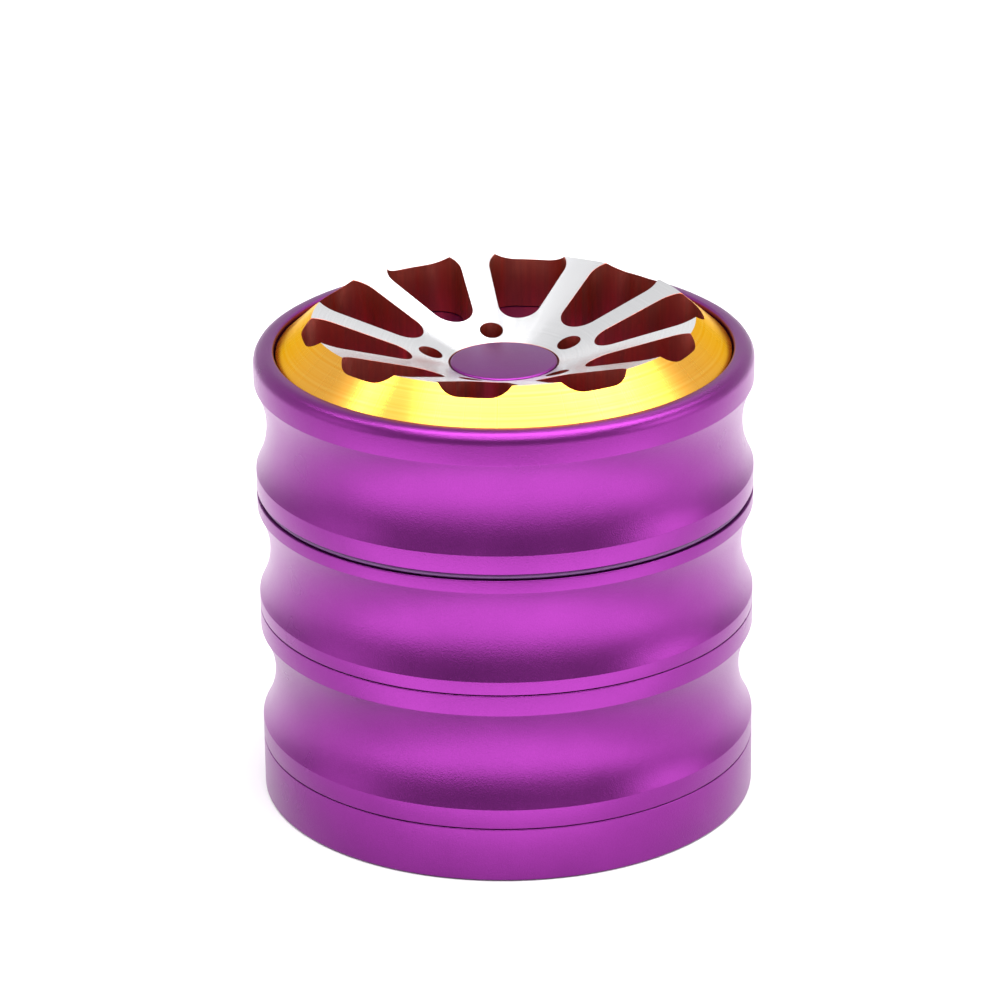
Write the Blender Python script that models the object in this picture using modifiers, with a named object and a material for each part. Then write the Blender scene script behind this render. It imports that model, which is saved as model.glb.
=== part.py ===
"""A four-part turned aluminium herb grinder with a small alloy-wheel insert in its lid.

From the bottom: a powder cup, a collection chamber with a screen in its floor, a grinding chamber with a
toothed and drilled floor, and a lid with teeth underneath. The cup and the two chambers screw together, and
the lid turns on a dark plastic ring. Metres, +Z up, with the origin at the centre of the underside.
"""

import math

import bmesh
import bpy
from mathutils import Matrix

# Driving dimensions
RADIUS = 0.0315
SEAM_GAP = 0.0003
FIT_GAP = 0.0004
SEGMENTS = 48

# Heights of the seams between the sections
CUP_SEAM = 0.0072
COLLECTION_SEAM = 0.0253
SHOULDER = 0.04052
LID_BOTTOM = 0.0413
LID_TOP = 0.05955

# Finger grooves: every groove is cut with the same round tool, centred on these heights
GROOVE_TOOL_RADIUS = 0.0127
GROOVE_STEPS = 8
COLLECTION_GROOVE = (0.00978, 0.02255)
GRINDING_GROOVE = (0.02705, 0.03890)
LID_GROOVE = (0.04340, 0.05555)

# Threaded spigots: a male spigot under each chamber enters the mouth of the section below
MOUTH_RADIUS = 0.0288
SPIGOT_RADIUS = MOUTH_RADIUS - FIT_GAP
SPIGOT_LENGTH = 0.0041
MOUTH_DEPTH = 0.0044

# Powder cup
CUP_FLOOR = 0.0018
CUP_FLOOR_RADIUS = 0.0236
CUP_FILLET = 0.001
CUP_EDGE_CHAMFER = 0.0003

# Collection chamber and its screen
COLLECTION_BORE = 0.027
SCREEN_BORE = 0.025
SCREEN_LEDGE = 0.0084
SCREEN_RADIUS = 0.0266
SCREEN_THICKNESS = 0.0003
RING_BORE = 0.0252
RING_HEIGHT = 0.0012

# Grinding chamber
GRINDING_BORE = 0.0264
GRINDING_FLOOR = 0.0375
FLOOR_THICKNESS = 0.003
COLLAR_RADIUS = 0.0285
COLLAR_TOP = 0.046
HOLE_RADIUS = 0.00175
HOLE_SIDES = 12

# Hubs and magnets
HUB_RADIUS = 0.006
GRINDING_HUB_TOP = 0.042
LID_HUB_BOTTOM = 0.0426
POCKET_RADIUS = 0.0043
POCKET_DEPTH = 0.0026
MAGNET_RADIUS = 0.0039
MAGNET_THICKNESS = 0.002

# Teeth, as circles of (radius, number). Lid and chamber circles alternate, so they pass each other
CHAMBER_TOOTH_CIRCLES = ((0.0105, 6), (0.0185, 12))
LID_TOOTH_CIRCLES = ((0.0145, 8), (0.0225, 14))
TOOTH_HALF_DEPTH = 0.0016
TOOTH_HALF_WIDTH = 0.002
TOOTH_ROOT = 0.0008
CHAMBER_TOOTH_TOP = 0.048
LID_TOOTH_BOTTOM = 0.0405

# Plastic ring in the lid's rabbet
RING_GAP = 0.0001
RING_BODY_BORE = 0.0289
RING_BODY_RADIUS = 0.03045
RING_LIP_RADIUS = 0.0312
RING_BODY_TOP = 0.04165
RABBET_RADIUS = 0.03075
RABBET_TOP = 0.04195

# Lid
LID_SKIRT_BORE = 0.0289
LID_SKIRT_TOP = 0.0465
LID_CEILING = 0.051
RECESS_RADIUS = 0.0289
RECESS_FLOOR = 0.0553
RIM_OUTER_FILLET = 0.0013
RIM_INNER_FILLET = 0.0004
FILLET_STEPS = 4
STEM_HOLE_RADIUS = 0.0032
STEM_HOLE_BOTTOM = 0.0475

# Wheel insert: an outer cone up to a ridge, and a straight dish down to the hub
WHEEL_RADIUS = 0.02855
WHEEL_BOTTOM = RECESS_FLOOR + SEAM_GAP
RIDGE_RADIUS = 0.0241
RIDGE_HEIGHT = 0.063
CONE_SLOPE = 0.91
DISH_SLOPE = 0.342
HUB_BORE = 0.0036
CAP_SEAT_RADIUS = 0.0071
CAP_SEAT_HEIGHT = 0.0564
SPOKES = 10
WINDOW_START = math.radians(9.5)
WINDOW_SIDE_ANGLE = math.radians(16.8)
WINDOW_INNER_RADIUS = 0.00277
WINDOW_INNER_CENTRE = 0.0144
WINDOW_CORNER_RADIUS = 0.0034
WINDOW_OUTER_RADIUS = 0.02535
LUG_CIRCLE = 0.0093
LUG_HOLE_RADIUS = 0.0015
LUG_HOLES = 5
LUG_START = math.radians(27.5)

# Centre cap: a button on a stem that presses into the lid
CAP_RADIUS = 0.00677
CAP_TOP = 0.0573
CAP_EDGE = 0.0002
CAP_UNDERSIDE = CAP_SEAT_HEIGHT + SEAM_GAP
STEM_RADIUS = 0.0029
STEM_BOTTOM = 0.0485

CUT_MARGIN = 0.003


def new_collection(name):
    collection = bpy.data.collections.new(name)
    bpy.context.scene.collection.children.link(collection)
    return collection


def new_material(name, colour, roughness, metallic):
    material = bpy.data.materials.new(name)
    material.use_nodes = True
    shader = material.node_tree.nodes["Principled BSDF"]
    shader.inputs["Base Color"].default_value = (*colour, 1.0)
    shader.inputs["Roughness"].default_value = roughness
    shader.inputs["Metallic"].default_value = metallic
    return material


def arc(centre_r, centre_z, radius, start, end, steps):
    """Points of a profile arc, from the start angle to the end angle in degrees, both ends included."""
    points = []
    for step in range(steps + 1):
        angle = math.radians(start + (end - start) * step / steps)
        points.append((centre_r + radius * math.cos(angle), centre_z + radius * math.sin(angle)))
    return points


def groove(low, high):
    """A finger groove in the outer wall, as profile points running down from its upper edge."""
    half = (high - low) / 2
    middle = (high + low) / 2
    tool_centre = RADIUS + math.sqrt(GROOVE_TOOL_RADIUS**2 - half**2)
    reach = math.degrees(math.asin(half / GROOVE_TOOL_RADIUS))
    return arc(tool_centre, middle, GROOVE_TOOL_RADIUS, 180 - reach, 180 + reach, GROOVE_STEPS)


def turned(name, profile, material, closed):
    """A turned piece: its profile in the XZ plane, running down the outer side, swept round the Z axis."""
    mesh = bpy.data.meshes.new(name)
    work = bmesh.new()
    corners = [work.verts.new((r, 0.0, z)) for r, z in profile]
    for first, second in zip(corners, corners[1:]):
        work.edges.new((first, second))
    if closed:
        work.edges.new((corners[-1], corners[0]))
    work.to_mesh(mesh)
    work.free()
    piece = bpy.data.objects.new(name, mesh)
    parts.objects.link(piece)
    screw = piece.modifiers.new("turn", "SCREW")
    screw.axis = "Z"
    screw.angle = math.tau
    screw.steps = SEGMENTS
    screw.render_steps = SEGMENTS
    screw.use_merge_vertices = True
    screw.merge_threshold = 0.00001
    screw.use_smooth_shade = False
    mesh.materials.append(material)
    return piece


def helper(name, work):
    """A hidden solid that cuts or joins another, from a finished bmesh."""
    mesh = bpy.data.meshes.new(name)
    bmesh.ops.recalc_face_normals(work, faces=work.faces)
    work.to_mesh(mesh)
    work.free()
    piece = bpy.data.objects.new(name, mesh)
    piece.hide_render = True
    piece.display_type = "WIRE"
    cutters.objects.link(piece)
    return piece


def combine(piece, other, operation):
    boolean = piece.modifiers.new(other.name, "BOOLEAN")
    boolean.operation = operation
    boolean.solver = "EXACT"
    boolean.object = other


def around(count, start=0.0):
    """The angles of a number of equal steps round a circle."""
    return [start + math.tau * step / count for step in range(count)]


def teeth(name, circles, low, high):
    """Diamond-section teeth standing on circles, each circle with a gap on the X axis."""
    work = bmesh.new()
    for circle_radius, count in circles:
        for angle in around(count, math.pi / count):
            made = bmesh.ops.create_cone(
                work, cap_ends=True, segments=4, radius1=1.0, radius2=1.0, depth=high - low
            )
            bmesh.ops.scale(work, vec=(TOOTH_HALF_DEPTH, TOOTH_HALF_WIDTH, 1.0), verts=made["verts"])
            bmesh.ops.translate(work, vec=(circle_radius, 0.0, (high + low) / 2), verts=made["verts"])
            turn_about_axis(work, made["verts"], angle)
    return helper(name, work)


def round_holes(name, circles, hole_radius, low, high, sides):
    """Round cutters on circles of (radius, angles)."""
    work = bmesh.new()
    for circle_radius, angles in circles:
        for angle in angles:
            made = bmesh.ops.create_cone(
                work,
                cap_ends=True,
                segments=sides,
                radius1=hole_radius,
                radius2=hole_radius,
                depth=high - low,
            )
            bmesh.ops.translate(work, vec=(circle_radius, 0.0, (high + low) / 2), verts=made["verts"])
            turn_about_axis(work, made["verts"], angle)
    return helper(name, work)


def turn_about_axis(work, verts, angle):
    bmesh.ops.rotate(work, cent=(0, 0, 0), matrix=Matrix.Rotation(angle, 3, "Z"), verts=verts)


def window_outline():
    """Half of a window along +X, from its inner end to its outer end: round nose, straight side, corner, rim arc."""
    side_x = math.cos(WINDOW_SIDE_ANGLE)
    side_y = math.sin(WINDOW_SIDE_ANGLE)
    nose_end = 90 + math.degrees(WINDOW_SIDE_ANGLE)
    points = arc(WINDOW_INNER_CENTRE, 0.0, WINDOW_INNER_RADIUS, 180, nose_end, 4)
    # The corner's centre lies inside the side line and inside the rim arc, by its own radius
    line_x = WINDOW_INNER_CENTRE - (WINDOW_INNER_RADIUS - WINDOW_CORNER_RADIUS) * side_y
    line_y = (WINDOW_INNER_RADIUS - WINDOW_CORNER_RADIUS) * side_x
    reach = WINDOW_OUTER_RADIUS - WINDOW_CORNER_RADIUS
    along = line_x * side_x + line_y * side_y
    run = -along + math.sqrt(along**2 - line_x**2 - line_y**2 + reach**2)
    corner_x = line_x + run * side_x
    corner_y = line_y + run * side_y
    corner_end = math.degrees(math.atan2(corner_y, corner_x))
    points += arc(corner_x, corner_y, WINDOW_CORNER_RADIUS, nose_end, corner_end, 6)
    points += arc(0.0, 0.0, WINDOW_OUTER_RADIUS, corner_end, 0, 1)[1:]
    return points


def window_cutters(name):
    """Ten straight-walled cutters through the wheel, one between each pair of spokes."""
    half = window_outline()
    outline = half + [(x, -y) for x, y in reversed(half[1:-1])]
    work = bmesh.new()
    for angle in around(SPOKES, WINDOW_START):
        verts = [work.verts.new((x, y, WHEEL_BOTTOM - CUT_MARGIN)) for x, y in outline]
        face = work.faces.new(verts)
        made = bmesh.ops.extrude_face_region(work, geom=[face])
        top = [item for item in made["geom"] if isinstance(item, bmesh.types.BMVert)]
        rise = RIDGE_HEIGHT - WHEEL_BOTTOM + 2 * CUT_MARGIN
        bmesh.ops.translate(work, vec=(0, 0, rise), verts=top)
        turn_about_axis(work, verts + top, angle)
    return helper(name, work)


def make_base_cup():
    inside = [
        (0.0, CUP_FLOOR),
        (CUP_FLOOR_RADIUS, CUP_FLOOR),
        (CUP_FLOOR_RADIUS + CUP_FILLET, CUP_FLOOR + CUP_FILLET),
        (MOUTH_RADIUS, CUP_FLOOR + CUP_FILLET),
        (MOUTH_RADIUS, CUP_SEAM - SEAM_GAP / 2),
    ]
    outside = [
        (RADIUS, CUP_SEAM - SEAM_GAP / 2),
        (RADIUS, CUP_EDGE_CHAMFER),
        (RADIUS - CUP_EDGE_CHAMFER, 0.0),
        (0.0, 0.0),
    ]
    turned("base_cup", inside + outside, purple, closed=False)


def make_collection_chamber():
    top = COLLECTION_SEAM - SEAM_GAP / 2
    shoulder = CUP_SEAM + SEAM_GAP / 2
    outside = [(RADIUS, top)] + groove(*COLLECTION_GROOVE) + [(RADIUS, shoulder)]
    spigot = [
        (SPIGOT_RADIUS, shoulder),
        (SPIGOT_RADIUS, shoulder - SPIGOT_LENGTH),
        (SCREEN_BORE, shoulder - SPIGOT_LENGTH),
    ]
    inside = [
        (SCREEN_BORE, SCREEN_LEDGE),
        (COLLECTION_BORE, SCREEN_LEDGE),
        (COLLECTION_BORE, top - MOUTH_DEPTH - (MOUTH_RADIUS - COLLECTION_BORE)),
        (MOUTH_RADIUS, top - MOUTH_DEPTH),
        (MOUTH_RADIUS, top),
    ]
    turned("collection_chamber", outside + spigot + inside, purple, closed=True)


def make_screen():
    low = SCREEN_LEDGE + SEAM_GAP
    high = low + SCREEN_THICKNESS
    disc = [(0.0, high), (SCREEN_RADIUS, high), (SCREEN_RADIUS, low), (0.0, low)]
    turned("screen_mesh", disc, steel, closed=False)
    ring_low = high + SEAM_GAP
    ring_high = ring_low + RING_HEIGHT
    ring = [
        (RING_BORE, ring_high),
        (SCREEN_RADIUS, ring_high),
        (SCREEN_RADIUS, ring_low),
        (RING_BORE, ring_low),
    ]
    turned("screen_retaining_ring", ring, steel, closed=True)


def make_grinding_chamber():
    shoulder = COLLECTION_SEAM + SEAM_GAP / 2
    underside = GRINDING_FLOOR - FLOOR_THICKNESS
    hub = [
        (0.0, GRINDING_HUB_TOP - POCKET_DEPTH),
        (POCKET_RADIUS, GRINDING_HUB_TOP - POCKET_DEPTH),
        (POCKET_RADIUS, GRINDING_HUB_TOP),
        (HUB_RADIUS, GRINDING_HUB_TOP),
        (HUB_RADIUS, GRINDING_FLOOR),
    ]
    collar = [
        (GRINDING_BORE, GRINDING_FLOOR),
        (GRINDING_BORE, COLLAR_TOP),
        (COLLAR_RADIUS, COLLAR_TOP),
        (COLLAR_RADIUS, SHOULDER),
    ]
    outside = [(RADIUS, SHOULDER)] + groove(*GRINDING_GROOVE) + [(RADIUS, shoulder)]
    spigot = [
        (SPIGOT_RADIUS, shoulder),
        (SPIGOT_RADIUS, shoulder - SPIGOT_LENGTH),
        (GRINDING_BORE, shoulder - SPIGOT_LENGTH),
        (GRINDING_BORE, underside),
        (0.0, underside),
    ]
    chamber = turned("grinding_chamber", hub + collar + outside + spigot, purple, closed=False)
    standing = teeth(
        "chamber_teeth_join", CHAMBER_TOOTH_CIRCLES, GRINDING_FLOOR - TOOTH_ROOT, CHAMBER_TOOTH_TOP
    )
    combine(chamber, standing, "UNION")
    # The holes lie under the circles that the lid's teeth sweep, half a step off their gaps
    circles = [(radius, around(count, math.pi / count)) for radius, count in LID_TOOTH_CIRCLES]
    drops = round_holes(
        "drop_hole_cut",
        circles,
        HOLE_RADIUS,
        underside - CUT_MARGIN,
        GRINDING_FLOOR + CUT_MARGIN / 2,
        HOLE_SIDES,
    )
    combine(chamber, drops, "DIFFERENCE")


def make_magnets():
    for name, low in (
        ("chamber_magnet", GRINDING_HUB_TOP - POCKET_DEPTH + SEAM_GAP),
        ("lid_magnet", LID_HUB_BOTTOM + SEAM_GAP),
    ):
        high = low + MAGNET_THICKNESS
        disc = [(0.0, high), (MAGNET_RADIUS, high), (MAGNET_RADIUS, low), (0.0, low)]
        turned(name, disc, nickel, closed=False)


def make_friction_ring():
    low = SHOULDER + RING_GAP
    lip_top = LID_BOTTOM - RING_GAP
    profile = [
        (RING_BODY_BORE, RING_BODY_TOP),
        (RING_BODY_RADIUS, RING_BODY_TOP),
        (RING_BODY_RADIUS, lip_top),
        (RING_LIP_RADIUS, lip_top),
        (RING_LIP_RADIUS, low),
        (RING_BODY_BORE, low),
    ]
    turned("friction_ring", profile, nylon, closed=True)


def make_lid():
    recess = [
        (0.0, STEM_HOLE_BOTTOM),
        (STEM_HOLE_RADIUS, STEM_HOLE_BOTTOM),
        (STEM_HOLE_RADIUS, RECESS_FLOOR),
        (RECESS_RADIUS, RECESS_FLOOR),
    ]
    rim = arc(
        RECESS_RADIUS + RIM_INNER_FILLET, LID_TOP - RIM_INNER_FILLET, RIM_INNER_FILLET, 180, 90, FILLET_STEPS
    )
    rim += arc(RADIUS - RIM_OUTER_FILLET, LID_TOP - RIM_OUTER_FILLET, RIM_OUTER_FILLET, 90, 0, FILLET_STEPS)
    outside = groove(*LID_GROOVE) + [(RADIUS, LID_BOTTOM)]
    underside = [
        (RABBET_RADIUS, LID_BOTTOM),
        (RABBET_RADIUS, RABBET_TOP),
        (LID_SKIRT_BORE, RABBET_TOP),
        (LID_SKIRT_BORE, LID_SKIRT_TOP),
        (GRINDING_BORE, LID_SKIRT_TOP),
        (GRINDING_BORE, LID_CEILING),
        (HUB_RADIUS, LID_CEILING),
        (HUB_RADIUS, LID_HUB_BOTTOM),
        (POCKET_RADIUS, LID_HUB_BOTTOM),
        (POCKET_RADIUS, LID_HUB_BOTTOM + POCKET_DEPTH),
        (0.0, LID_HUB_BOTTOM + POCKET_DEPTH),
    ]
    lid = turned("lid_body", recess + rim + outside + underside, purple, closed=False)
    hanging = teeth("lid_teeth_join", LID_TOOTH_CIRCLES, LID_TOOTH_BOTTOM, LID_CEILING + TOOTH_ROOT)
    combine(lid, hanging, "UNION")


def make_wheel():
    lip_height = RIDGE_HEIGHT - CONE_SLOPE * (WHEEL_RADIUS - RIDGE_RADIUS)
    hub_height = RIDGE_HEIGHT - DISH_SLOPE * (RIDGE_RADIUS - CAP_SEAT_RADIUS)
    profile = [
        (HUB_BORE, CAP_SEAT_HEIGHT),
        (CAP_SEAT_RADIUS, CAP_SEAT_HEIGHT),
        (CAP_SEAT_RADIUS, hub_height),
        (RIDGE_RADIUS, RIDGE_HEIGHT),
        (WHEEL_RADIUS, lip_height),
        (WHEEL_RADIUS, WHEEL_BOTTOM),
        (HUB_BORE, WHEEL_BOTTOM),
    ]
    wheel = turned("wheel_insert", profile, gold, closed=True)
    combine(wheel, window_cutters("window_cut"), "DIFFERENCE")
    lugs = round_holes(
        "lug_hole_cut",
        [(LUG_CIRCLE, around(LUG_HOLES, LUG_START))],
        LUG_HOLE_RADIUS,
        WHEEL_BOTTOM - CUT_MARGIN,
        RIDGE_HEIGHT + CUT_MARGIN,
        HOLE_SIDES,
    )
    combine(wheel, lugs, "DIFFERENCE")


def make_centre_cap():
    profile = [
        (0.0, CAP_TOP),
        (CAP_RADIUS - CAP_EDGE, CAP_TOP),
        (CAP_RADIUS, CAP_TOP - CAP_EDGE),
        (CAP_RADIUS, CAP_UNDERSIDE),
        (STEM_RADIUS, CAP_UNDERSIDE),
        (STEM_RADIUS, STEM_BOTTOM),
        (0.0, STEM_BOTTOM),
    ]
    turned("wheel_centre_cap", profile, purple, closed=False)


for old in list(bpy.data.objects):
    bpy.data.objects.remove(old)

parts = new_collection("herb_grinder")
cutters = new_collection("cutters")
cutters.hide_render = True

purple = new_material("purple_anodised", (0.39, 0.038, 0.40), 0.32, 0.9)
gold = new_material("gold_anodised", (0.85, 0.45, 0.08), 0.25, 1.0)
steel = new_material("stainless_steel", (0.6, 0.6, 0.6), 0.35, 1.0)
nickel = new_material("nickel_plate", (0.72, 0.7, 0.66), 0.2, 1.0)
nylon = new_material("dark_nylon", (0.08, 0.03, 0.1), 0.4, 0.0)

make_base_cup()
make_collection_chamber()
make_screen()
make_grinding_chamber()
make_magnets()
make_friction_ring()
make_lid()
make_wheel()
make_centre_cap()
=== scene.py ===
import math

import bmesh
import bpy
from mathutils import Matrix, Vector


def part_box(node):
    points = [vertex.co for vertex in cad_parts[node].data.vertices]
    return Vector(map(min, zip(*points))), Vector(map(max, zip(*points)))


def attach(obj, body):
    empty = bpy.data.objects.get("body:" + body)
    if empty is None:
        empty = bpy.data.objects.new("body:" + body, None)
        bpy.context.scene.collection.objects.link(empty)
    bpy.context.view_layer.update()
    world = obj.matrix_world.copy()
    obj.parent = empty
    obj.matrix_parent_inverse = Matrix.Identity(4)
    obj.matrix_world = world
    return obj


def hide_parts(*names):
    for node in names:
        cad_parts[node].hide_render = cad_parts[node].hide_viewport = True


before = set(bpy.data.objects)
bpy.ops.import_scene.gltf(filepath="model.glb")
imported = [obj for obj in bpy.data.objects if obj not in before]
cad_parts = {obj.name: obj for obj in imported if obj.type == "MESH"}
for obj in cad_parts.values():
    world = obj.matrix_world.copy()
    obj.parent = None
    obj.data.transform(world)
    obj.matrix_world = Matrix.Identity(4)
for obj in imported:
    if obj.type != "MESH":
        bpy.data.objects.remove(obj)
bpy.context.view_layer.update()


# Powder cup. The lowest section is a shallow aluminium cup, turned from bar, bead blasted to a satin surface
# and dyed purple by anodising. Its bore has a female thread that the collection chamber screws into.

outer_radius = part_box("base_cup")[1].x
seam_gap = 0.0001
edge_break = 0.00013
turning_steps = 192
thread_pitch = 0.0015
thread_rows_per_turn = 10
thread_ridge = 0.0006
female_root = 0.02885
male_root = 0.028
purple_dark = (0.187, 0.0208, 0.197, 1.0)
purple_light = (0.235, 0.0265, 0.245, 1.0)


def rounded(corners):
    """Profile points from corners (r, z, round-over radius)."""
    points = []
    for index, (r, z, radius) in enumerate(corners):
        if not radius:
            points.append((r, z))
            continue
        here = Vector((r, z))
        before = (Vector(corners[index - 1][:2]) - here).normalized()
        after = (Vector(corners[(index + 1) % len(corners)][:2]) - here).normalized()
        half = before.angle(after) / 2
        start = before * (radius / math.tan(half))
        end = after * (radius / math.tan(half))
        centre = (before + after).normalized() * (radius / math.sin(half))
        for step in range(5):
            spoke = (start - centre).lerp(end - centre, step / 4).normalized() * radius
            points.append(tuple(here + centre + spoke))
    return points


def turned(profile, closed=False, steps=turning_steps):
    """A bmesh of the profile spun round the Z axis, closed and facing out."""
    work = bmesh.new()
    points = [work.verts.new((r, 0, z)) for r, z in profile]
    edges = [work.edges.new(pair) for pair in zip(points, points[1:])]
    if closed:
        edges.append(work.edges.new((points[-1], points[0])))
    bmesh.ops.spin(
        work, geom=points + edges, cent=(0, 0, 0), axis=(0, 0, 1), angle=math.tau, steps=steps, use_merge=True
    )
    bmesh.ops.remove_doubles(work, verts=work.verts, dist=1e-7)
    bmesh.ops.recalc_face_normals(work, faces=work.faces)
    return work


def thread_wall(radius, low, high):
    """Profile rows up a wall, close enough together to hold a thread."""
    rows = round((high - low) / thread_pitch * thread_rows_per_turn)
    return [(radius, low + (high - low) * row / rows, 0) for row in range(rows + 1)]


def cut_thread(work, radius, low, high, ridge, phase):
    """Raises a right-hand helical ridge on a plain wall, running out over half a turn at each end."""
    for vert in work.verts:
        distance = math.hypot(vert.co.x, vert.co.y)
        if abs(distance - radius) > 1e-5 or not low <= vert.co.z <= high:
            continue
        turn = vert.co.z / thread_pitch - math.atan2(vert.co.y, vert.co.x) / math.tau + phase
        across = abs(turn % 1 - 0.5) * 2
        form = min(1, max(0, 1.7 - 2.4 * across))
        ends = min(vert.co.z - low, high - vert.co.z) / (thread_pitch / 2)
        grown = distance + ridge * form * min(1, max(0, ends))
        vert.co.x *= grown / distance
        vert.co.y *= grown / distance


def finished(name, work, *materials, sharp=30):
    """The bmesh as an object, smooth except at its edges, with a map that runs round the turning axis."""
    turning = work.loops.layers.uv.new("turning")
    for face in work.faces:
        middle = face.calc_center_median()
        around = math.atan2(middle.y, middle.x)
        for loop in face.loops:
            x, y, z = loop.vert.co
            off = math.atan2(y, x) - around if math.hypot(x, y) > 1e-6 else 0
            off = (off + math.pi) % math.tau - math.pi
            loop[turning].uv = ((around + off) / math.tau, (math.hypot(x, y) + z) * 10)
    mesh = bpy.data.meshes.new(name)
    work.to_mesh(mesh)
    work.free()
    for material in materials:
        mesh.materials.append(material)
    mesh.shade_smooth()
    mesh.set_sharp_from_angle(angle=math.radians(sharp))
    piece = bpy.data.objects.new(name, mesh)
    bpy.context.scene.collection.objects.link(piece)
    return piece


def new_group(name, inputs, outputs):
    """A shader node group with float inputs and outputs."""
    group = bpy.data.node_groups.new(name, "ShaderNodeTree")
    for label, value in inputs:
        socket = group.interface.new_socket(label, in_out="INPUT", socket_type="NodeSocketFloat")
        socket.default_value = value
    for label in outputs:
        group.interface.new_socket(label, in_out="OUTPUT", socket_type="NodeSocketFloat")
    return group, group.nodes.new("NodeGroupInput"), group.nodes.new("NodeGroupOutput")


def noise(tree, coordinate, scale, detail, dimensions="3D"):
    node = tree.nodes.new("ShaderNodeTexNoise")
    node.noise_dimensions = dimensions
    node.inputs["Detail"].default_value = detail
    if isinstance(scale, bpy.types.NodeSocket):
        tree.links.new(scale, node.inputs["Scale"])
    else:
        node.inputs["Scale"].default_value = scale
    tree.links.new(coordinate, node.inputs["W" if dimensions == "1D" else "Vector"])
    return node.outputs["Fac"]


blasted, group_in, group_out = new_group(
    "blasted_grain", [("Grain per metre", 6200.0), ("Cloud per metre", 95.0)], ["Height", "Tone", "Haze"]
)
places = blasted.nodes.new("ShaderNodeTexCoord").outputs["Object"]
fine = noise(blasted, places, group_in.outputs["Grain per metre"], 2.0)
cloud = noise(blasted, places, group_in.outputs["Cloud per metre"], 2.0)
blasted.links.new(fine, group_out.inputs["Height"])
mottle = blasted.nodes.new("ShaderNodeMath")
mottle.operation = "MULTIPLY_ADD"
mottle.inputs[1].default_value = 0.45
blasted.links.new(fine, mottle.inputs[0])
share = blasted.nodes.new("ShaderNodeMath")
share.operation = "MULTIPLY"
share.inputs[1].default_value = 0.55
blasted.links.new(cloud, share.inputs[0])
blasted.links.new(share.outputs["Value"], mottle.inputs[2])
blasted.links.new(mottle.outputs["Value"], group_out.inputs["Tone"])
blasted.links.new(cloud, group_out.inputs["Haze"])


def new_metal(name, metallic, anisotropic=0.0, coat=0.0, coat_roughness=0.2, ior=1.5):
    """A material with its Principled BSDF's even values set on the shader's own sockets."""
    material = bpy.data.materials.new(name)
    material.use_nodes = True
    shader = material.node_tree.nodes["Principled BSDF"]
    shader.inputs["Metallic"].default_value = metallic
    shader.inputs["IOR"].default_value = ior
    shader.inputs["Anisotropic"].default_value = anisotropic
    shader.inputs["Anisotropic Rotation"].default_value = 0.25
    shader.inputs["Coat Weight"].default_value = coat
    shader.inputs["Coat Roughness"].default_value = coat_roughness
    return material, material.node_tree, shader


def use_group(tree, group, **values):
    node = tree.nodes.new("ShaderNodeGroup")
    node.node_tree = group
    for label, value in values.items():
        node.inputs[label.replace("_", " ")].default_value = value
    return node


def between(tree, factor, low, high):
    """A colour ramp from low to high over the middle of a noise, as a colour or a value."""
    ramp = tree.nodes.new("ShaderNodeMapRange")
    ramp.inputs["From Min"].default_value = 0.3
    ramp.inputs["From Max"].default_value = 0.7
    tree.links.new(factor, ramp.inputs["Value"])
    if isinstance(low, tuple):
        mix = tree.nodes.new("ShaderNodeMix")
        mix.data_type = "RGBA"
        mix.inputs["A"].default_value = low
        mix.inputs["B"].default_value = high
        tree.links.new(ramp.outputs["Result"], mix.inputs["Factor"])
        return mix.outputs["Result"]
    ramp.inputs["To Min"].default_value = low
    ramp.inputs["To Max"].default_value = high
    return ramp.outputs["Result"]


def bump(tree, height, shader, strength, distance):
    node = tree.nodes.new("ShaderNodeBump")
    node.inputs["Strength"].default_value = strength
    node.inputs["Distance"].default_value = distance
    tree.links.new(height, node.inputs["Height"])
    tree.links.new(node.outputs["Normal"], shader.inputs["Normal"])


purple, tree, shader = new_metal("purple_anodised", 1.0, coat=0.05, coat_roughness=0.3)
grain = use_group(tree, blasted)
tree.links.new(between(tree, grain.outputs["Tone"], purple_dark, purple_light), shader.inputs["Base Color"])
tree.links.new(between(tree, grain.outputs["Haze"], 0.27, 0.31), shader.inputs["Roughness"])
bump(tree, grain.outputs["Height"], shader, 1.0, 0.00003)

cup_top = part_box("base_cup")[1].z + seam_gap / 2
cup_floor = 0.0018
cup_floor_radius = 0.0236
cup_fillet = 0.0006
cup_taper = 0.001
cup_step = 0.0028
foot_round = 0.0004

cup_wall = thread_wall(female_root, cup_step, cup_top - edge_break)
cup = turned(
    rounded(
        [
            (0, cup_floor, 0),
            (cup_floor_radius, cup_floor, cup_fillet),
            (cup_floor_radius + cup_taper, cup_step, 0.0002),
        ]
        + cup_wall
        + [
            (female_root + edge_break, cup_top, 0),
            (outer_radius, cup_top, edge_break),
            (outer_radius, 0, foot_round),
            (0, 0, 0),
        ]
    )
)
cut_thread(cup, female_root, cup_step, cup_top - edge_break, -thread_ridge, 0.5)
powder_cup = finished("powder_cup", cup, purple)
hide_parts("base_cup")
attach(powder_cup, "powder_cup")


# Collection chamber. The tallest section has a finger groove cut round it with a round-nosed tool, a male
# thread under it, a female thread in its mouth, and a ledge near the bottom of its bore for the screen.

groove_tool = 0.0127
groove_steps = 26
groove_edge = 0.00012
spigot_length = 0.0041
spigot_lead = 0.0002


def finger_groove(low, high):
    """Corners down the outside of a finger groove, from its upper edge to its lower edge."""
    half = (high - low) / 2
    centre = outer_radius + math.sqrt(groove_tool**2 - half**2)
    corners = []
    for step in range(groove_steps + 1):
        height = high - (high - low) * step / groove_steps
        depth = math.sqrt(groove_tool**2 - (height - low - half) ** 2)
        edge = groove_edge if step in (0, groove_steps) else 0
        corners.append((centre - depth, height, edge))
    return corners


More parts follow.
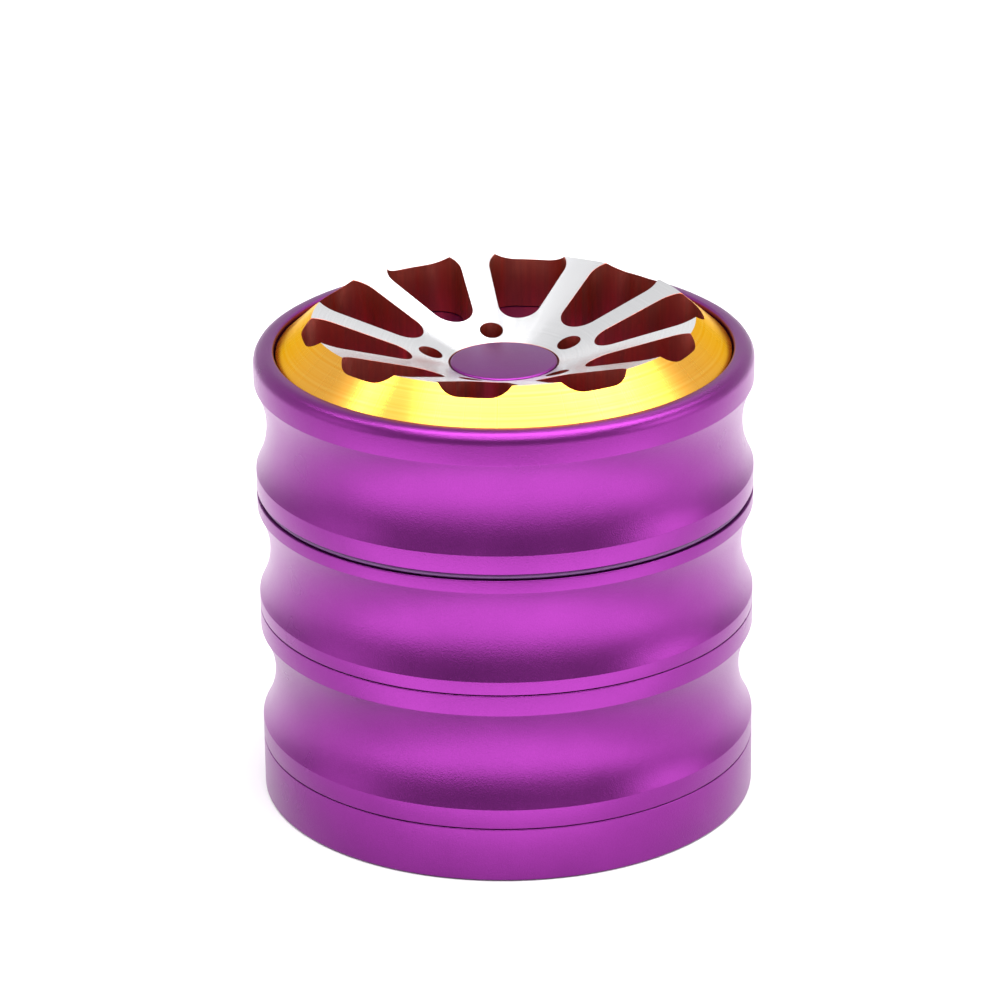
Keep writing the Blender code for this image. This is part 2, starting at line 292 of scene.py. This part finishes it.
def threaded_spigot(shoulder, bore):
    """Corners of a male thread's wall under a shoulder, and across its end to the bore."""
    bottom = shoulder - spigot_length
    wall = thread_wall(male_root, bottom + spigot_lead, shoulder)
    return wall[::-1] + [(male_root - spigot_lead, bottom, 0), (bore, bottom, spigot_lead)]


collection_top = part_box("collection_chamber")[1].z + seam_gap / 2
collection_shoulder = cup_top + seam_gap
collection_groove = (0.00978, 0.02255)
collection_bore = 0.027
screen_bore = 0.025
screen_ledge = 0.0084
mouth_depth = 0.0044

mouth_low = collection_top - mouth_depth
mouth = thread_wall(female_root, mouth_low, collection_top - edge_break)
chamber = turned(
    rounded(
        [(outer_radius, collection_top, edge_break)]
        + finger_groove(*collection_groove)
        + [(outer_radius, collection_shoulder, edge_break)]
        + threaded_spigot(collection_shoulder, screen_bore)
        + [
            (screen_bore, screen_ledge, edge_break),
            (collection_bore, screen_ledge, 0.0003),
            (collection_bore, mouth_low - (female_root - collection_bore), 0.0004),
        ]
        + mouth
        + [(female_root + edge_break, collection_top, 0)]
    ),
    closed=True,
)
cut_thread(chamber, female_root, mouth_low, collection_top - edge_break, -thread_ridge, 0.5)
cut_thread(
    chamber,
    male_root,
    collection_shoulder - spigot_length + spigot_lead,
    collection_shoulder,
    thread_ridge,
    0.0,
)
collection_chamber = finished("collection_section", chamber, purple)
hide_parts("collection_chamber")
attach(collection_chamber, "collection")


# Screen. Fine stainless wire woven over and under, cut to a disc that lies on the ledge in the bottom of the
# collection chamber. A turned steel ring presses in on top and holds it down.

screen_low, screen_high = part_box("screen_mesh")
wire_spacing = 0.0007
wire_radius = 0.00007
steel_dull = (0.42, 0.41, 0.40, 1)
steel_bright = (0.60, 0.59, 0.57, 1)
weave_lift = 0.00007
screen_radius = screen_high.x - wire_radius
screen_middle = (screen_low.z + screen_high.z) / 2

steel, tree, shader = new_metal("stainless_wire", 1.0)
scuffs = use_group(tree, blasted, Grain_per_metre=2600.0, Cloud_per_metre=180.0)
tree.links.new(between(tree, scuffs.outputs["Tone"], steel_dull, steel_bright), shader.inputs["Base Color"])
tree.links.new(between(tree, scuffs.outputs["Haze"], 0.28, 0.40), shader.inputs["Roughness"])
bump(tree, scuffs.outputs["Height"], shader, 0.08, 0.00002)

weave = bpy.data.curves.new("weave", "CURVE")
weave.dimensions = "3D"
weave.bevel_depth = wire_radius
weave.bevel_resolution = 0
weave.use_fill_caps = True
rows = int(screen_radius / wire_spacing)
for row in range(-rows, rows + 1):
    offset = row * wire_spacing
    reach = int(math.sqrt(screen_radius**2 - offset**2) / wire_spacing)
    if reach < 2:
        continue
    for runs_along_x in (True, False):
        wire = weave.splines.new("POLY")
        wire.points.add(2 * reach)
        for step in range(-reach, reach + 1):
            over = (step + row) % 2 == (0 if runs_along_x else 1)
            height = screen_middle + (weave_lift if over else -weave_lift)
            along = step * wire_spacing
            place = (along, offset, height, 1) if runs_along_x else (offset, along, height, 1)
            wire.points[step + reach].co = place
loom = bpy.data.objects.new("loom", weave)
bpy.context.scene.collection.objects.link(loom)
woven = bpy.data.meshes.new_from_object(loom.evaluated_get(bpy.context.evaluated_depsgraph_get()))
bpy.data.objects.remove(loom)
cloth = bmesh.new()
cloth.from_mesh(woven)
bmesh.ops.remove_doubles(cloth, verts=cloth.verts, dist=1e-7)
bmesh.ops.recalc_face_normals(cloth, faces=cloth.faces)
screen = finished("woven_screen", cloth, steel, sharp=60)
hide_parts("screen_mesh")
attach(screen, "collection")

ring_low, ring_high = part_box("screen_retaining_ring")
ring_bore = 0.0252
ring_round = 0.00025
hoop = turned(
    rounded(
        [
            (ring_bore, ring_high.z, ring_round),
            (ring_high.x, ring_high.z, ring_round),
            (ring_high.x, ring_low.z, ring_round),
            (ring_bore, ring_low.z, ring_round),
        ]
    ),
    closed=True,
)
screen_ring = finished("screen_ring", hoop, steel)
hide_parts("screen_retaining_ring")
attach(screen_ring, "screen_ring")


# Grinding chamber. The herb is cut here: diamond teeth are milled from the floor's own metal, round a hub
# that holds a magnet, and drop holes are drilled between them. A thin collar stands up inside the lid.

tooth_half_depth = 0.0016
tooth_half_width = 0.002
tooth_root = 0.0008
tooth_break = 0.00018
hole_sides = 32
cutter_overrun = 0.001


def milled_teeth(circles, low, high):
    """Diamond teeth with broken edges, standing on circles of (radius, number)."""
    work = bmesh.new()
    for circle_radius, count in circles:
        for index in range(count):
            made = bmesh.ops.create_cone(
                work, cap_ends=True, segments=4, radius1=1, radius2=1, depth=high - low
            )
            verts = made["verts"]
            bmesh.ops.scale(work, vec=(tooth_half_depth, tooth_half_width, 1), verts=verts)
            edges = list({edge for vert in verts for edge in vert.link_edges})
            upright = [edge for edge in edges if abs(edge.verts[0].co.z - edge.verts[1].co.z) > 1e-5]
            rounded_off = bmesh.ops.bevel(
                work,
                geom=upright,
                offset=tooth_break,
                segments=3,
                profile=0.5,
                affect="EDGES",
                material=-1,
            )
            verts = list({vert for face in rounded_off["faces"] for vert in face.verts})
            place = Matrix.Rotation(math.tau * (index + 0.5) / count, 4, "Z")
            place = place @ Matrix.Translation((circle_radius, 0, (high + low) / 2))
            bmesh.ops.transform(work, matrix=place, verts=verts)
    return work


def round_cutters(places, radius, low, high, sides):
    """Upright round cutters at (distance from the axis, angle)."""
    work = bmesh.new()
    for distance, angle in places:
        made = bmesh.ops.create_cone(
            work, cap_ends=True, segments=sides, radius1=radius, radius2=radius, depth=high - low
        )
        where = Matrix.Rotation(angle, 4, "Z") @ Matrix.Translation((distance, 0, (high + low) / 2))
        bmesh.ops.transform(work, matrix=where, verts=made["verts"])
    return work


def machined(work, *tools):
    """The bmesh after each (operation, tool bmesh) has been joined to it or cut from it."""
    scrap = []
    for index, shape in enumerate([work] + [tool for _, tool in tools]):
        mesh = bpy.data.meshes.new(f"blank_{index}")
        bmesh.ops.recalc_face_normals(shape, faces=shape.faces)
        shape.to_mesh(mesh)
        shape.free()
        scrap.append(bpy.data.objects.new(f"blank_{index}", mesh))
        bpy.context.scene.collection.objects.link(scrap[-1])
    for (operation, _), tool in zip(tools, scrap[1:]):
        boolean = scrap[0].modifiers.new(operation, "BOOLEAN")
        boolean.operation = operation
        boolean.object = tool
    bpy.context.view_layer.update()
    result = bpy.data.meshes.new_from_object(scrap[0].evaluated_get(bpy.context.evaluated_depsgraph_get()))
    for blank in scrap:
        bpy.data.objects.remove(blank)
    work = bmesh.new()
    work.from_mesh(result)
    return work


shoulder = 0.04052
grinding_shoulder = collection_top + seam_gap
grinding_groove = (0.02705, 0.03890)
grinding_bore = 0.0264
grinding_floor = 0.0375
floor_underside = 0.0345
collar_radius = 0.0285
collar_top = 0.046
hub_radius = 0.006
grinding_hub_top = 0.042
pocket_radius = 0.0041
pocket_depth = 0.0026
chamber_tooth_circles = ((0.0105, 6), (0.0185, 12))
lid_tooth_circles = ((0.0145, 8), (0.0225, 14))
chamber_tooth_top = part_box("grinding_chamber")[1].z
drop_hole_radius = 0.00175

chamber = turned(
    rounded(
        [
            (0, grinding_hub_top - pocket_depth, 0),
            (pocket_radius, grinding_hub_top - pocket_depth, 0),
            (pocket_radius, grinding_hub_top, edge_break),
            (hub_radius, grinding_hub_top, 0.0003),
            (hub_radius, grinding_floor, 0.0005),
            (grinding_bore, grinding_floor, 0.0008),
            (grinding_bore, collar_top, 0.0003),
            (collar_radius, collar_top, 0.0003),
            (collar_radius, shoulder, 0.0002),
            (outer_radius, shoulder, edge_break),
        ]
        + finger_groove(*grinding_groove)
        + [(outer_radius, grinding_shoulder, edge_break)]
        + threaded_spigot(grinding_shoulder, grinding_bore)
        + [(grinding_bore, floor_underside, 0.0008), (0, floor_underside, 0)]
    )
)
cut_thread(
    chamber,
    male_root,
    grinding_shoulder - spigot_length + spigot_lead,
    grinding_shoulder,
    thread_ridge,
    0.0,
)
standing = milled_teeth(chamber_tooth_circles, grinding_floor - tooth_root, chamber_tooth_top)
drop_places = [
    (radius, math.tau * (index + 0.5) / count)
    for radius, count in lid_tooth_circles
    for index in range(count)
]
drops = round_cutters(
    drop_places,
    drop_hole_radius,
    floor_underside - cutter_overrun,
    grinding_floor + cutter_overrun,
    hole_sides,
)
chamber = machined(chamber, ("UNION", standing), ("DIFFERENCE", drops))
grinding_chamber = finished("grinding_section", chamber, purple)
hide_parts("grinding_chamber")
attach(grinding_chamber, "grinding")


# Chamber magnet. A nickel-plated disc magnet glued in the pocket in the hub's top; with its twin in the lid
# it keeps the lid from falling off.

magnet_round = 0.0002
nickel_dull = (0.60, 0.57, 0.52, 1)
nickel_bright = (0.72, 0.69, 0.64, 1)

nickel, tree, shader = new_metal("nickel_plate", 1.0)
plating = use_group(tree, blasted, Grain_per_metre=900.0, Cloud_per_metre=260.0)
plated = between(tree, plating.outputs["Tone"], nickel_dull, nickel_bright)
tree.links.new(plated, shader.inputs["Base Color"])
tree.links.new(between(tree, plating.outputs["Haze"], 0.14, 0.26), shader.inputs["Roughness"])
bump(tree, plating.outputs["Height"], shader, 0.05, 0.00002)


def disc_magnet(name, node, body):
    low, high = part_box(node)
    disc = turned(
        rounded(
            [
                (0, high.z, 0),
                (high.x, high.z, magnet_round),
                (high.x, low.z, magnet_round),
                (0, low.z, 0),
            ]
        ),
        steps=96,
    )
    magnet = finished(name, disc, nickel)
    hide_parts(node)
    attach(magnet, body)


disc_magnet("hub_magnet", "chamber_magnet", "hub_magnet")


# Friction ring. A dark nylon ring, moulded with a lip, snaps into a rabbet under the lid and turns on the
# grinding chamber's shoulder. Only the lip shows, as the dark line under the lid.

nylon_dark = (0.095, 0.026, 0.125, 1)
nylon_light = (0.140, 0.042, 0.175, 1)
ring_clearance = 0.00004

nylon, tree, shader = new_metal("dark_nylon", 0.0, ior=1.53)
moulded = use_group(tree, blasted, Grain_per_metre=3800.0, Cloud_per_metre=400.0)
tree.links.new(between(tree, moulded.outputs["Tone"], nylon_dark, nylon_light), shader.inputs["Base Color"])
tree.links.new(between(tree, moulded.outputs["Haze"], 0.32, 0.45), shader.inputs["Roughness"])
bump(tree, moulded.outputs["Height"], shader, 0.1, 0.00003)

ring_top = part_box("friction_ring")[1].z
lid_low, lid_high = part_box("lid_body")
lid_bottom = 0.0413
ring_body_bore = 0.0289
ring_body_radius = 0.03045
ring_lip_low = shoulder + ring_clearance
ring_lip_high = lid_bottom - ring_clearance
lip_round = 0.00034
ring_lip_radius = 0.0312
nylon_ring = turned(
    rounded(
        [
            (ring_body_bore, ring_top, 0.0002),
            (ring_body_radius, ring_top, 0.0002),
            (ring_body_radius, ring_lip_high, 0),
            (ring_lip_radius, ring_lip_high, lip_round),
            (ring_lip_radius, ring_lip_low, lip_round),
            (ring_body_bore, ring_lip_low, 0.0001),
        ]
    ),
    closed=True,
)
friction_ring = finished("nylon_ring", nylon_ring, nylon)
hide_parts("friction_ring")
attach(friction_ring, "lid_ring")


# Lid. Turned, grooved and blasted like the chambers, with a rounded rim round a shallow recess on top. Teeth
# milled in its underside pass between the chamber's teeth, and a hub in the middle holds the other magnet.

rim_outer_round = 0.0016
lid_top = lid_high.z
rim_inner_round = 0.0004
lid_groove = (0.04378, 0.05555)
rabbet_radius = 0.03075
rabbet_top = 0.04195
skirt_bore = 0.0289
skirt_top = 0.0465
lid_ceiling = 0.051
lid_hub_bottom = 0.0426
lid_tooth_bottom = lid_low.z
recess_radius = 0.0289
recess_floor = 0.0553
stem_hole_radius = 0.0031
stem_hole_bottom = 0.0475

lid = turned(
    rounded(
        [
            (0, stem_hole_bottom, 0),
            (stem_hole_radius, stem_hole_bottom, 0),
            (stem_hole_radius, recess_floor, edge_break),
            (recess_radius, recess_floor, 0.0003),
            (recess_radius, lid_top, rim_inner_round),
            (outer_radius, lid_top, rim_outer_round),
        ]
        + finger_groove(*lid_groove)
        + [
            (outer_radius, lid_bottom, edge_break),
            (rabbet_radius, lid_bottom, edge_break / 2),
            (rabbet_radius, rabbet_top, 0),
            (skirt_bore, rabbet_top, 0),
            (skirt_bore, skirt_top, 0.0003),
            (grinding_bore, skirt_top, 0.0003),
            (grinding_bore, lid_ceiling, 0.0008),
            (hub_radius, lid_ceiling, 0.0005),
            (hub_radius, lid_hub_bottom, 0.0003),
            (pocket_radius, lid_hub_bottom, edge_break),
            (pocket_radius, lid_hub_bottom + pocket_depth, 0),
            (0, lid_hub_bottom + pocket_depth, 0),
        ]
    ),
    steps=256,
)
hanging = milled_teeth(lid_tooth_circles, lid_tooth_bottom, lid_ceiling + tooth_root)
lid = machined(lid, ("UNION", hanging))
lid_section = finished("lid_section", lid, purple)
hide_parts("lid_body")
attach(lid_section, "lid")

disc_magnet("lid_disc_magnet", "lid_magnet", "lid")


# Wheel insert. One turned disc in the shape of a car's alloy wheel: dyed gold all over, then milled through
# with ten windows and five lug holes, and last faced with a diamond tool that leaves the dish bright silver.

wheel_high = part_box("wheel_insert")[1]
wheel_radius = wheel_high.x + seam_gap
wheel_bottom = recess_floor + seam_gap
ridge_radius = 0.0241
ridge_height = wheel_high.z
cone_slope = 0.91
dish_slope = 0.342
hub_bore = 0.0036
cap_seat_radius = 0.00695
cap_seat_height = 0.0564
spokes = 10
window_start = math.radians(9.5)
window_side = math.radians(16.8)
window_nose = 0.00277
window_nose_centre = 0.0144
window_corner = 0.0034
window_end = 0.02535
lug_circle = 0.0093
lug_hole_radius = 0.0015
lug_sides = 48
lug_start = math.radians(27.5)
window_chamfer = 0.00002
gold_deep = (0.96, 0.44, 0.055, 1)
gold_bright = (1.0, 0.53, 0.095, 1)
gold_edge = (1.0, 0.85, 0.3, 1)
window_reach = 0.0265
same_way = 0.93
# Window wall colours: the same gold dye painted darker and redder as painted shade inside the windows, and a
# brighter painted glow standing in for the light bounced round them.
wall_painted_shade = (0.42, 0.115, 0.080, 1)
wall_painted_glow = (0.78, 0.205, 0.135, 1)
silver_grey = (0.88, 0.88, 0.90, 1)
silver_white = (0.93, 0.93, 0.95, 1)


def window_half():
    """One side of a window along +X: round nose, straight side, round corner, and an arc along the rim."""

    def arc(x, y, radius, start, end, steps):
        angles = [start + (end - start) * step / steps for step in range(steps + 1)]
        return [Vector((x + radius * math.cos(a), y + radius * math.sin(a))) for a in angles]

    along = Vector((math.cos(window_side), math.sin(window_side)))
    upright = Vector((-along.y, along.x))
    nose_end = math.pi / 2 + window_side
    line = Vector((window_nose_centre, 0)) + upright * (window_nose - window_corner)
    reach = window_end - window_corner
    run = math.sqrt(line.dot(along) ** 2 - line.length_squared + reach**2) - line.dot(along)
    corner = line + along * run
    corner_end = math.atan2(corner.y, corner.x)
    points = arc(window_nose_centre, 0, window_nose, math.pi, nose_end, 12)
    points += arc(corner.x, corner.y, window_corner, nose_end, corner_end, 16)
    return points + arc(0, 0, window_end, corner_end, 0, 4)[1:]


def wheel_face(r):
    """Height of the wheel's face at a distance from the axis: the dish inside the ridge, the cone outside."""
    if r < ridge_radius:
        return ridge_height - dish_slope * (ridge_radius - r)
    return ridge_height - cone_slope * (r - ridge_radius)


def window_cutters():
    """Cutters for the windows, upright, flaring where they pass the wheel's face to leave a small chamfer."""
    half = window_half()
    outline = half + [Vector((p.x, -p.y)) for p in reversed(half[1:-1])]
    work = bmesh.new()
    for index in range(spokes):
        verts = [work.verts.new((p.x, p.y, wheel_bottom - cutter_overrun)) for p in outline]
        ring = [work.verts.new((p.x, p.y, wheel_face(p.length) - window_chamfer)) for p in outline]
        wide = []
        for place, point in enumerate(outline):
            tangent = (outline[(place + 1) % len(outline)] - outline[place - 1]).normalized()
            out = Vector((-tangent.y, tangent.x)) * 2 * window_chamfer
            lip = wheel_face(point.length) + window_chamfer
            wide.append(work.verts.new((point.x + out.x, point.y + out.y, lip)))
        top = [work.verts.new((v.co.x, v.co.y, ridge_height + cutter_overrun)) for v in wide]
        for lower, upper in ((verts, ring), (ring, wide), (wide, top)):
            for place in range(len(outline)):
                after = (place + 1) % len(outline)
                work.faces.new((lower[place], lower[after], upper[after], upper[place]))
        work.faces.new(verts)
        work.faces.new(top)
        turn = Matrix.Rotation(window_start + math.tau * index / spokes, 4, "Z")
        bmesh.ops.transform(work, matrix=turn, verts=verts + ring + wide + top)
    return work


lathe, group_in, group_out = new_group(
    "turning_lines", [("Lines per metre", 3600.0), ("Streaks", 9.0)], ["Height", "Tone", "Streak"]
)
split = lathe.nodes.new("ShaderNodeSeparateXYZ")
lathe.links.new(lathe.nodes.new("ShaderNodeTexCoord").outputs["Object"], split.inputs["Vector"])
flat = lathe.nodes.new("ShaderNodeCombineXYZ")
lathe.links.new(split.outputs["X"], flat.inputs["X"])
lathe.links.new(split.outputs["Y"], flat.inputs["Y"])
distance = lathe.nodes.new("ShaderNodeVectorMath")
distance.operation = "LENGTH"
lathe.links.new(flat.outputs["Vector"], distance.inputs[0])
heading = lathe.nodes.new("ShaderNodeMath")
heading.operation = "ARCTAN2"
lathe.links.new(split.outputs["Y"], heading.inputs[0])
lathe.links.new(split.outputs["X"], heading.inputs[1])
lines = noise(lathe, distance.outputs["Value"], group_in.outputs["Lines per metre"], 4.0, "1D")
streaks = noise(lathe, heading.outputs["Value"], group_in.outputs["Streaks"], 3.0, "1D")
lathe.links.new(lines, group_out.inputs["Height"])
lathe.links.new(lines, group_out.inputs["Tone"])
lathe.links.new(streaks, group_out.inputs["Streak"])


def turned_finish(name, low, high, roughness, anisotropic, depth):
    """A lathe-finished metal whose highlights stretch across its turning lines."""
    material, tree, shader = new_metal(name, 1.0, anisotropic=anisotropic)
    marks = use_group(tree, lathe)
    tree.links.new(between(tree, marks.outputs["Tone"], low, high), shader.inputs["Base Color"])
    tree.links.new(between(tree, marks.outputs["Streak"], *roughness), shader.inputs["Roughness"])
    around = tree.nodes.new("ShaderNodeTangent")
    around.direction_type = "UV_MAP"
    around.uv_map = "turning"
    tree.links.new(around.outputs["Tangent"], shader.inputs["Tangent"])
    bump(tree, marks.outputs["Height"], shader, depth, 0.00002)
    return material


gold = turned_finish("gold_anodised", gold_deep, gold_bright, (0.26, 0.30), 0.6, 0.10)
gold.node_tree.nodes["Principled BSDF"].inputs["Specular Tint"].default_value = gold_edge
silver = turned_finish("diamond_cut_silver", silver_grey, silver_white, (0.22, 0.26), 0.75, 0.05)

# Window walls: milled gold whose colour is painted shade, mixed along cutter-mark streaks between the dark
# painted shade and a brighter painted glow; the same streaks also roughen and bump the walls.
milled_gold_painted_shade, tree, shader = new_metal("gold_anodised_milled_painted_shade", 1.0)
stretched = tree.nodes.new("ShaderNodeMapping")
stretched.inputs["Scale"].default_value = (1, 1, 0.06)
tree.links.new(tree.nodes.new("ShaderNodeTexCoord").outputs["Object"], stretched.inputs["Vector"])
cutter_marks_and_painted_glow = noise(tree, stretched.outputs["Vector"], 700.0, 2.0)
tree.links.new(between(tree, cutter_marks_and_painted_glow, wall_painted_shade, wall_painted_glow), shader.inputs["Base Color"])
tree.links.new(between(tree, cutter_marks_and_painted_glow, 0.42, 0.30), shader.inputs["Roughness"])
bump(tree, cutter_marks_and_painted_glow, shader, 0.3, 0.00004)

wheel = turned(
    rounded(
        [
            (hub_bore, cap_seat_height, 0),
            (cap_seat_radius, cap_seat_height, 0),
            (cap_seat_radius, wheel_face(cap_seat_radius), 0.0001),
            (ridge_radius, ridge_height, 0),
            (wheel_radius, wheel_face(wheel_radius), 0.00025),
            (wheel_radius, wheel_bottom, 0),
            (hub_bore, wheel_bottom, 0),
        ]
    ),
    closed=True,
    steps=240,
)
lugs = round_cutters(
    [(lug_circle, lug_start + math.tau * index / 5) for index in range(5)],
    lug_hole_radius,
    wheel_bottom - cutter_overrun,
    ridge_height + cutter_overrun,
    lug_sides,
)
wheel = machined(wheel, ("DIFFERENCE", window_cutters()), ("DIFFERENCE", lugs))
# Faces along the wheel's face take gold or silver; the other faces inside the window reach, the window and
# lug walls, take the wall material with its painted shade and painted glow.
for face in wheel.faces:
    middle = face.calc_center_median()
    distance = math.hypot(middle.x, middle.y)
    slope = dish_slope if distance < ridge_radius else -cone_slope
    facing = Vector((-slope * middle.x / distance, -slope * middle.y / distance, 1)).normalized()
    if face.normal.dot(facing) > same_way:
        face.material_index = 1 if distance < ridge_radius else 0
    else:
        face.material_index = 2 if distance < window_reach else 0
alloy_wheel = finished("alloy_wheel", wheel, gold, silver, milled_gold_painted_shade, sharp=20)
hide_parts("wheel_insert")
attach(alloy_wheel, "lid")


# Centre cap. A purple button whose stem presses into the lid and whose head holds the wheel down, where a
# real alloy wheel has its hub cap.

cap_low, cap_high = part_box("wheel_centre_cap")
cap_round = 0.00032
stem_radius = 0.0029
cap_head = 0.0567

cap = turned(
    rounded(
        [
            (0, cap_high.z, 0),
            (cap_high.x, cap_high.z, cap_round),
            (cap_high.x, cap_head, 0.0001),
            (stem_radius, cap_head, 0),
            (stem_radius, cap_low.z, 0.0003),
            (0, cap_low.z, 0),
        ]
    )
)
centre_cap = finished("centre_cap", cap, purple)
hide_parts("wheel_centre_cap")
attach(centre_cap, "lid")


# Studio. A plain pale floor under a broad overhead softbox with a strip in front of it, one at each side, and
# small ones high at the left, right and rear that light the wheel, in a room that is dimmer in front.

floor_size = 6.0
floor_tone = (0.87, 0.87, 0.87, 1)

ground = bmesh.new()
bmesh.ops.create_grid(ground, x_segments=1, y_segments=1, size=floor_size / 2)
floor_mesh = bpy.data.meshes.new("studio_floor")
ground.to_mesh(floor_mesh)
ground.free()
paper = bpy.data.materials.new("floor_paper")
paper.use_nodes = True
paper.node_tree.nodes["Principled BSDF"].inputs["Base Color"].default_value = floor_tone
paper.node_tree.nodes["Principled BSDF"].inputs["Roughness"].default_value = 0.9
paper.node_tree.nodes["Principled BSDF"].inputs["Specular IOR Level"].default_value = 0.0
floor_mesh.materials.append(paper)
floor = bpy.data.objects.new("studio_floor", floor_mesh)
bpy.context.scene.collection.objects.link(floor)


def softbox(name, azimuth, elevation, distance, width, height, power):
    """An area light that faces the grinder. Azimuth 0 is the camera's side and 90 is the right."""
    light = bpy.data.lights.new(name, "AREA")
    light.shape = "RECTANGLE"
    light.size = width
    light.size_y = height
    light.energy = power
    lamp = bpy.data.objects.new(name, light)
    bpy.context.scene.collection.objects.link(lamp)
    turn, rise = math.radians(azimuth), math.radians(elevation)
    away = Vector((math.sin(turn) * math.cos(rise), -math.cos(turn) * math.cos(rise), math.sin(rise)))
    lamp.location = away * distance + Vector((0, 0, 0.03))
    lamp.rotation_euler = away.to_track_quat("Z", "Y").to_euler()
    return lamp


overhead = softbox("overhead_softbox", 0, 86, 1.0, 1.4, 0.55, 14.0)
overhead.location.x = 0.18
softbox("front_strip_softbox", 0, 56, 1.0, 0.9, 0.2, 3.2)
softbox("upper_right_softbox", 105, 46, 1.0, 0.4, 0.25, 1.0)
softbox("upper_left_softbox", -100, 50, 1.0, 0.18, 0.2, 0.9)
softbox("right_softbox", 78, 18, 1.0, 0.6, 0.4, 1.9)
softbox("left_softbox", -78, 18, 1.0, 0.6, 0.4, 0.7)
softbox("rear_softbox", 159, 51, 1.0, 0.3, 0.35, 0.6)
card = softbox("front_bounce_card", 0, 0, 0.095, 0.34, 0.1, 0.11)
card.location.z = 0.001
card.rotation_euler = (math.pi, 0, 0)

world = bpy.data.worlds.new("studio_room")
bpy.context.scene.world = world
world.use_nodes = True
room = world.node_tree
split = room.nodes.new("ShaderNodeSeparateXYZ")
room.links.new(room.nodes.new("ShaderNodeTexCoord").outputs["Generated"], split.inputs["Vector"])
glows = []
for axis, start, end, low, high in (("Y", -0.8, 0.4, 0.55, 0.85), ("Z", 0.2, 0.6, 0.0, -0.14)):
    glow = room.nodes.new("ShaderNodeMapRange")
    glow.interpolation_type = "SMOOTHSTEP"
    glow.inputs["From Min"].default_value = start
    glow.inputs["From Max"].default_value = end
    glow.inputs["To Min"].default_value = low
    glow.inputs["To Max"].default_value = high
    room.links.new(split.outputs[axis], glow.inputs["Value"])
    glows.append(glow.outputs["Result"])
sky = room.nodes.new("ShaderNodeMath")
room.links.new(glows[0], sky.inputs[0])
room.links.new(glows[1], sky.inputs[1])
room.links.new(sky.outputs["Value"], room.nodes["Background"].inputs["Strength"])
room.nodes["Background"].inputs["Color"].default_value = (1, 1, 1, 1)

camera_data = bpy.data.cameras.new("camera")
camera_data.lens = 177.9
camera_data.sensor_width = 36
camera_data.clip_end = 20
camera = bpy.data.objects.new("camera", camera_data)
bpy.context.scene.collection.objects.link(camera)
camera.location = (0, -0.5816, 0.2752)
pitch, yaw, roll = math.radians(22.16), math.radians(-0.067), math.radians(-0.665)
aim = Matrix.Rotation(-yaw, 4, "Z") @ Matrix.Rotation(math.pi / 2 - pitch, 4, "X")
camera.rotation_euler = (aim @ Matrix.Rotation(roll, 4, "Z")).to_euler()
bpy.context.scene.camera = camera
bpy.context.scene.view_settings.view_transform = "Standard"
